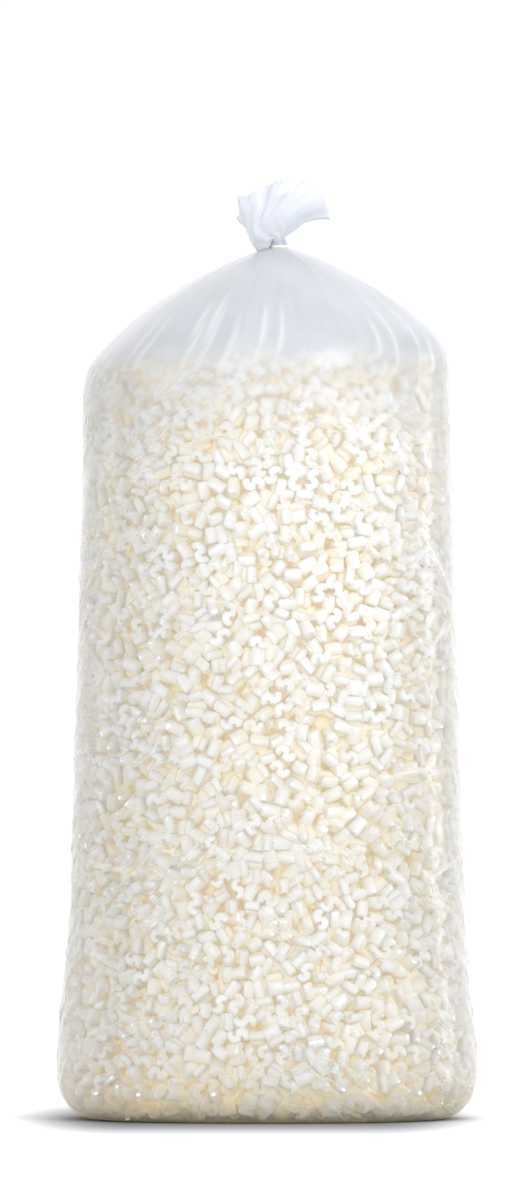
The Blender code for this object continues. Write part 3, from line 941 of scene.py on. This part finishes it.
def foam_material(name, surface, deep_painted_light, glow):
    """Matt foam: surface is its own colour at the film, the next colour is painted warm light far behind
    the film, and glow is a painted glow.
    """
    material, add = new_material(name)
    spot = add("TexCoord").outputs["Object"]
    depth = add("Attribute", attribute_name="depth_behind_film").outputs["Fac"]
    mottle = add("TexNoise", {"Vector": spot, "Scale": MOTTLE_PER_METRE, "Detail": 0.0})
    spread = {"From Min": 0.3, "From Max": 0.7, "To Min": -0.10, "To Max": 0.10}
    tint = add("MapRange", {"Value": mottle} | spread)
    share = add("Math", {0: depth, 1: tint}, operation="ADD", use_clamp=True)
    colour = add("ValToRGB", {"Fac": share})
    colour.color_ramp.elements[0].color = linear(surface)
    colour.color_ramp.elements[1].color = linear(deep_painted_light)
    # Painted glow: foam further behind the film glows more, standing in for light that has seeped through
    # the foam.
    through = add("MapRange", {"Value": share, "From Min": 0.15, "To Max": DEEPEST_PAINTED_GLOW})
    cells = add("TexVoronoi", {"Vector": spot, "Scale": CELLS_PER_METRE})
    bump = add("Bump", {"Height": cells, "Strength": 0.35, "Distance": CELL_RELIEF})
    finish = {"Roughness": 0.75, "IOR": 1.45, "Specular IOR Level": 0.15}
    finish |= {"Emission Color": linear(glow), "Emission Strength": through}
    foam = add("BsdfPrincipled", {"Base Color": colour, "Normal": bump} | finish)
    add("OutputMaterial", {"Surface": foam})
    return material


# The second colour is painted warm light for the gaps, and the third is their painted glow.
expanded_polystyrene = foam_material("expanded_polystyrene", "#FEFEFC", "#FCF1D3", "#FFEBBA")
for piece in foam_pieces + [foam_core]:
    piece.data.materials.append(expanded_polystyrene)
    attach(piece, "root")
    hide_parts("peanut_fill")
print("foam pieces dressed:", len(foam_pieces) + 1)

# %% [markdown]
# The loose pieces on the heap keep the solid model's own meshes. They get the same
# foam, and a narrow bevel for the soft edge that the swelling leaves.

# %% Loose peanuts on the heap
for name in LOOSE:
    peanut = bpy.data.objects[name]
    peanut.data.materials.clear()
    peanut.data.materials.append(expanded_polystyrene)
    soft_edge = peanut.modifiers.new("soft_edge", "BEVEL")
    soft_edge.width = 0.0014
    soft_edge.segments = 2
    soft_edge.limit_method = "ANGLE"
print("loose peanuts dressed:", len(LOOSE))

# %% [markdown]
# ## Polyethylene film
# Low density polyethylene film is clear but not quite: its crystals scatter a little
# light, so one layer is faintly milky and the gathered headspace is white with mist.
# The material mixes clear and milky film, and one number says how milky: it follows
# the height on the bag, with faint streaks along the gathers, soft clouds, and a
# little more where the film is seen edge on and there is more of it to look through.

# %% How milky the film is
VEIL_BY_HEIGHT = [
    (0.000, 0.20),
    (0.100, 0.19),
    (0.286, 0.20),
    (0.304, 0.27),
    (0.318, 0.38),
    (0.336, 0.50),
    (0.365, 0.60),
    (0.404, 0.73),
    (0.450, 0.85),
    (0.620, 0.88),
    (1.000, 0.88),
]
TOP_ZONE = 3.0


def film_veil(add, spot, zone):
    """How milky the film is, from 0 to 1, and the cloud noise that is part of it."""
    veil = add("ValToRGB", {"Fac": add("MapRange", {"Value": zone, "From Max": TOP_ZONE})})
    ramp = veil.color_ramp
    while len(ramp.elements) < len(VEIL_BY_HEIGHT):
        ramp.elements.new(0.5)
    for element, (position, value) in zip(ramp.elements, VEIL_BY_HEIGHT):
        element.position = position
        element.color = (value, value, value, 1.0)
    around = add("Attribute", attribute_name="around_bag").outputs["Vector"]
    around = add("VectorMath", {0: around, 1: (9.0, 9.0, 1.0)}, operation="MULTIPLY")
    flow = add("VectorMath", {0: around, 1: add("CombineXYZ", {"Z": zone})}, operation="ADD")
    streak = add("TexNoise", {"Vector": flow, "Scale": 1.6})
    faint = {"From Min": 0.35, "From Max": 0.65, "To Min": -0.02, "To Max": 0.02}
    streak = add("MapRange", {"Value": streak} | faint)
    gathered = add("MapRange", {"Value": zone, "From Min": 0.85, "From Max": 1.4})
    streak = add("Math", {0: streak, 1: gathered}, operation="MULTIPLY")
    cloud = add("TexNoise", {"Vector": spot, "Scale": 9.0, "Detail": 1.0})
    soft = {"From Min": 0.35, "From Max": 0.7, "To Min": -0.03, "To Max": 0.07}
    cloudy = add("MapRange", {"Value": cloud} | soft)
    facing = add("LayerWeight", {"Blend": 0.35}).outputs["Facing"]
    edge_on = add("Math", {0: facing, 1: 0.14}, operation="MULTIPLY")
    milky = add("Math", {0: veil, 1: streak}, operation="ADD")
    for extra in (cloudy, edge_on):
        milky = add("Math", {0: milky, 1: extra}, operation="ADD", use_clamp=True)
    return milky, cloud


# %% [markdown]
# Fine wrinkles are too many for geometry. They are noise that is drawn out along the
# slanted folds: 33 mm for one bump across a fold and 150 mm along it. Where the film is
# bent sharply it turns white, so thin lines follow the middle of the noise in patches,
# and the creases of the mesh are whitened too. These lines are partly that whitening
# and partly a painted highlight along the folds.

# %% Wrinkles and white lines
BUMPS_PER_METRE = (30.0, 6.5, 5.0)


def film_wrinkles(add, spot):
    """Noise stretched along the slanted folds."""
    axes = add("SeparateXYZ", {"Vector": spot})
    height = axes.outputs["Z"]
    outward = add("Math", {0: axes.outputs["X"]}, operation="ABSOLUTE")
    across = add("Math", {0: outward, 1: FOLD_SLOPE, 2: height}, operation="MULTIPLY_ADD")
    along = add("Math", {0: height, 1: -FOLD_SLOPE, 2: outward}, operation="MULTIPLY_ADD")
    laid = add("CombineXYZ", {"X": across, "Y": along, "Z": axes.outputs["Y"]})
    laid = add("VectorMath", {0: laid, 1: BUMPS_PER_METRE}, operation="MULTIPLY")
    return add("TexNoise", {"Vector": laid, "Scale": 1.0, "Distortion": 0.4})


def whitened_and_highlit_lines(add, wrinkles, cloud, zone):
    """Where the film is bent white, with a painted highlight along the fold, from 0 to 1."""
    line = add("Math", {0: wrinkles, 1: 0.5}, operation="SUBTRACT")
    line = add("Math", {0: line}, operation="ABSOLUTE")
    narrow = {"Value": line, "From Min": 0.045, "From Max": 0.0}
    line = add("MapRange", narrow, interpolation_type="SMOOTHSTEP")
    on_body = add("MapRange", {"Value": zone, "From Min": 1.02, "From Max": 0.92})
    in_patch = add("MapRange", {"Value": cloud, "From Min": 0.48, "From Max": 0.62})
    for share in (on_body, in_patch):
        line = add("Math", {0: line, 1: share}, operation="MULTIPLY")
    creases = add("Attribute", attribute_name="creased").outputs["Fac"]
    return add("Math", {0: line, 1: 0.55, 2: creases}, operation="MULTIPLY_ADD")


# %% [markdown]
# The film's skin reflects with an IOR of 1.51 whatever lies under it. It is smooth, but
# its finest wrinkles are below the size of a pixel and spread each glint, so its
# roughness is 0.22 and not the 0.1 of a flat sheet.

# %% Film material
def film_material():
    """Clear film mixed with milky film, under a gloss."""
    material, add = new_material("blown_polyethylene_film")
    spot = add("TexCoord").outputs["Object"]
    zone = add("Attribute", attribute_name="height_zone").outputs["Fac"]
    milky, cloud = film_veil(add, spot, zone)
    wrinkles = film_wrinkles(add, spot)
    line = whitened_and_highlit_lines(add, wrinkles, cloud, zone)
    # The lines are painted whiter and milkier: partly bent film turning white, partly a painted highlight.
    milky = add("Math", {0: line, 1: 0.30, 2: milky}, operation="MULTIPLY_ADD", use_clamp=True)
    bump = add("Bump", {"Height": wrinkles, "Strength": 0.30, "Distance": 0.004})
    white = {"Factor": line, "A": linear("#CFD3DB"), "B": linear("#FFFFFB")}
    white = add("Mix", white, data_type="RGBA")
    scatter = add("BsdfDiffuse", {"Color": white, "Normal": bump})
    through = add("BsdfTranslucent", {"Color": linear("#CDD2DC"), "Normal": bump})
    milk = add("MixShader", {0: 0.4, 1: scatter, 2: through})
    clear = add("BsdfTransparent", {"Color": linear("#FBFBFC")})
    body = add("MixShader", {0: milky, 1: clear, 2: milk})
    mirror = add("Fresnel", {"IOR": 1.51, "Normal": bump})
    gloss = {"Color": linear("#FFFFFF"), "Roughness": 0.22, "Normal": bump}
    surface = add("MixShader", {0: mirror, 1: body, 2: add("BsdfGlossy", gloss)})
    add("OutputMaterial", {"Surface": surface})
    return material


bag_film.data.materials.append(film_material())
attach(bag_film, "root")
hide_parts("film_bag")
print("film dressed:", bag_film.name)

# %% [markdown]
# ## Twist tie
# The neck is closed with a paper and plastic covered wire. Its coating is white vinyl,
# semi-matt, over paper whose fibres mottle it. The solid model's own mesh stays, with a
# narrow bevel for the edges that were pressed round the wire.

# %% Tie material
FIBRES_PER_METRE = 900.0


def tie_material():
    """Semi-matt white vinyl with a faint fibre pattern."""
    material, add = new_material("vinyl_coated_tie")
    spot = add("TexCoord").outputs["Object"]
    fibre = add("TexNoise", {"Vector": spot, "Scale": FIBRES_PER_METRE})
    colour = add("ValToRGB", {"Fac": fibre})
    colour.color_ramp.elements[0].color = linear("#C2C0BA")
    colour.color_ramp.elements[1].color = linear("#DAD8D2")
    bump = add("Bump", {"Height": fibre, "Strength": 0.3, "Distance": 0.0003})
    coat = {"Base Color": colour, "Normal": bump, "Roughness": 0.38, "IOR": 1.53}
    add("OutputMaterial", {"Surface": add("BsdfPrincipled", coat)})
    return material


neck_tie = bpy.data.objects["neck_tie"]
neck_tie.data.materials.clear()
neck_tie.data.materials.append(tie_material())
tie_edge = neck_tie.modifiers.new("pressed_edge", "BEVEL")
tie_edge.width = 0.0003
tie_edge.segments = 2
print("tie dressed:", neck_tie.name)

# %% [markdown]
# ## Camera, floor and light
# The photograph looks straight at the bag from far away, so the camera is level, 30 m
# off, with a long lens that takes in the photograph's height at the bag.

# %% Camera
PHOTO_METRES_HIGH = 1.956
PHOTO_MIDDLE = (-0.0122, 0.845)
CAMERA_DISTANCE = 30.0
camera_data = bpy.data.cameras.new("camera")
camera_data.sensor_fit = "VERTICAL"
camera_data.sensor_height = 24.0
camera_data.lens = 24.0 * CAMERA_DISTANCE / PHOTO_METRES_HIGH
camera_data.clip_start = 1.0
camera_data.clip_end = 200.0
camera = bpy.data.objects.new("camera", camera_data)
camera.location = (PHOTO_MIDDLE[0], -CAMERA_DISTANCE, PHOTO_MIDDLE[1])
camera.rotation_euler = (math.radians(90.0), 0.0, 0.0)
bpy.context.scene.collection.objects.link(camera)
bpy.context.scene.camera = camera
print("lens:", round(camera_data.lens), "mm")

# %% [markdown]
# The studio is a white room. Its front wall is the brightest, its back wall less so, and
# its right side is a little brighter than its left. The camera itself sees plain white.

# %% White room
LEFT_LIGHT, RIGHT_LIGHT = 0.68, 0.88
CEILING_LIGHT = 0.25
FRONT_LIGHT, BACK_LIGHT = 1.24, 0.46
SEEN_WHITE = 1.1
scene = bpy.context.scene
scene.world = bpy.data.worlds.new("white_room")
scene.world.use_nodes = True
scene.world.node_tree.nodes.clear()
add = partial(add_node, scene.world.node_tree)
towards = add("SeparateXYZ", {"Vector": add("TexCoord").outputs["Generated"]})
sides = {"Value": towards.outputs["X"], "From Min": -1.0, "To Min": LEFT_LIGHT, "To Max": RIGHT_LIGHT}
light = add("MapRange", sides)
light = {0: towards.outputs["Z"], 1: CEILING_LIGHT, 2: light}
light = add("Math", light, operation="MULTIPLY_ADD")
for direction, most in ((-1.0, FRONT_LIGHT), (1.0, BACK_LIGHT)):
    wall = add("MapRange", {"Value": towards.outputs["Y"], "From Max": direction, "To Max": most})
    light = add("Math", {0: light, 1: wall}, operation="ADD")
seen = add("LightPath").outputs["Is Camera Ray"]
strength = add("Mix", {"Factor": seen, "A": light, "B": SEEN_WHITE})
glow = add("Background", {"Color": linear("#FFFFFF"), "Strength": strength})
add("OutputWorld", {"Surface": glow})
scene.view_settings.view_transform = "Standard"
scene.cycles.max_bounces = 8
scene.cycles.diffuse_bounces = 4
scene.cycles.transparent_max_bounces = 16
print("room nodes:", len(scene.world.node_tree.nodes))

# %% [markdown]
# The floor is a pale matt sweep. The photograph's soft shade under the bag is an oval
# painted on the floor round the bag's foot, grey in the middle and white at its rim. It
# is long from front to back, because a level camera sees the floor almost edge on.

# %% Floor
SHADE_MIDDLE_X = -0.025
SHADE_FULL_TO, SHADE_ENDS_AT = 0.20, 0.42
SHADE_PER_METRE_DEEP = 0.80
SHADE = [(0.0, "#48484A"), (0.22, "#707072"), (0.44, "#9A9A9C"), (0.72, "#D2D2D4"), (1.0, "#FDFDFD")]
floor_mesh = bpy.data.meshes.new("studio_floor")
corners = [(-2.5, -2.5, 0), (2.5, -2.5, 0), (2.5, 2.5, 0), (-2.5, 2.5, 0)]
floor_mesh.from_pydata(corners, [], [(0, 1, 2, 3)])
studio_floor = bpy.data.objects.new("studio_floor", floor_mesh)
studio_floor.location.z = -0.0005
scene.collection.objects.link(studio_floor)
white_sweep, add = new_material("white_sweep")
axes = add("SeparateXYZ", {"Vector": add("TexCoord").outputs["Object"]})
aside = add("Math", {0: axes.outputs["X"], 1: -SHADE_MIDDLE_X}, operation="ADD")
aside = add("Math", {0: aside}, operation="ABSOLUTE")
aside = add("MapRange", {"Value": aside, "From Min": SHADE_FULL_TO, "From Max": SHADE_ENDS_AT})
ahead = add("Math", {0: axes.outputs["Y"], 1: SHADE_PER_METRE_DEEP}, operation="MULTIPLY")
oval = add("CombineXYZ", {"X": aside, "Y": ahead})
from_middle = add("VectorMath", {0: oval}, operation="LENGTH").outputs["Value"]
shade = add("ValToRGB", {"Fac": from_middle})
for position, _ in SHADE[1:-1]:
    shade.color_ramp.elements.new(position)
for element, (_, grey) in zip(shade.color_ramp.elements, SHADE):
    element.color = linear(grey)
seen = add("LightPath").outputs["Is Camera Ray"]
pale = add("Mix", {"Factor": seen, "A": linear("#DAD6CC"), "B": shade}, data_type="RGBA")
add("OutputMaterial", {"Surface": add("BsdfDiffuse", {"Color": pale})})
floor_mesh.materials.append(white_sweep)
print("floor:", studio_floor.name)

# %% [markdown]
# A large soft light high on the right models the foam, a wide one overhead whitens the
# floor alone, and a tall strip at each side draws the row of glints down the film.

# %% Lights
def area_light(name, place_at, aim, size, watts):
    """A rectangular light that looks at aim."""
    data = bpy.data.lights.new(name, "AREA")
    data.shape = "RECTANGLE"
    data.size, data.size_y = size
    data.energy = watts
    light = bpy.data.objects.new(name, data)
    light.location = place_at
    light.rotation_euler = (Vector(aim) - Vector(place_at)).to_track_quat("-Z", "Y").to_euler()
    scene.collection.objects.link(light)
    return light


area_light("soft_key", (1.1, -2.0, 2.3), (0.05, 0.0, 0.95), (1.5, 1.5), 18.0)
overhead = area_light("floor_light", (0.0, 0.0, 3.6), (0.0, 0.0, 0.0), (6.0, 6.0), 40.0)
floor_only = bpy.data.collections.new("floor_only")
floor_only.objects.link(studio_floor)
overhead.light_linking.receiver_collection = floor_only
area_light("left_strip", (-2.2, 0.7, 0.9), (0.0, 0.0, 0.75), (0.35, 2.0), 3.0)
area_light("right_strip", (2.2, 0.7, 0.9), (0.0, 0.0, 0.75), (0.35, 2.0), 8.0)

# %% Update the scene
bpy.context.view_layer.update()
